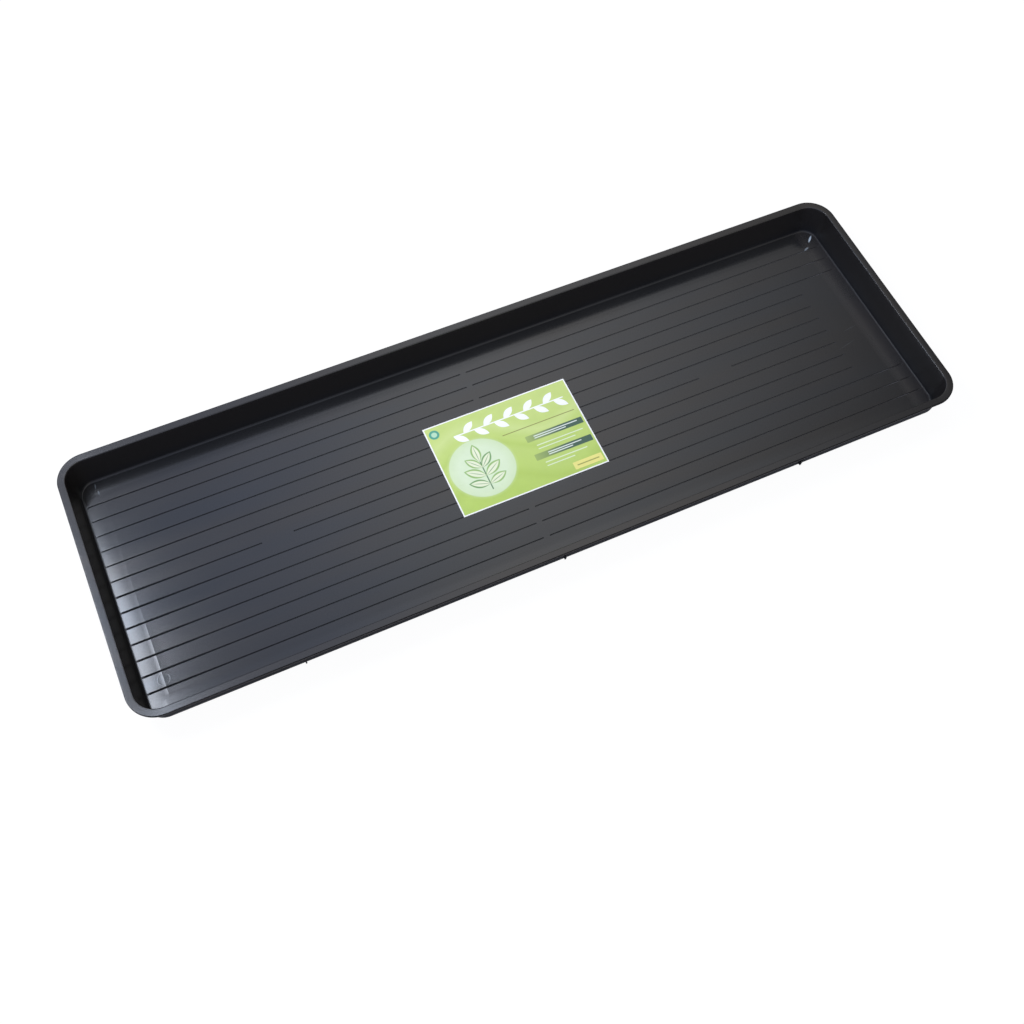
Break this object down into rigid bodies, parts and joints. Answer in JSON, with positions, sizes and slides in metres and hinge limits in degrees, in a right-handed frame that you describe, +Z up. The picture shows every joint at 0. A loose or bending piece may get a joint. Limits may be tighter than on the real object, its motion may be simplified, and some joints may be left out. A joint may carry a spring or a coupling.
{
  "type": "plant drip tray",
  "caption": "Long shallow black plastic tray that stands under plant pots and catches water, with a flat rim, leaning walls and a grooved floor with a paper label.",
  "frame": {"origin": "middle of the base, on the surface that the tray rests on", "axes": "+X along the length, towards the end with the plain floor; +Y across the width; +Z up"},
  "size_m": [1.2, 0.4, 0.05],
  "materials": {
    "black_plastic": "satin",
    "printed_paper": "satin"
  },
  "bodies": {
    "root": {"tray": "black_plastic", "label": "printed_paper"}
  },
  "joints": []
}
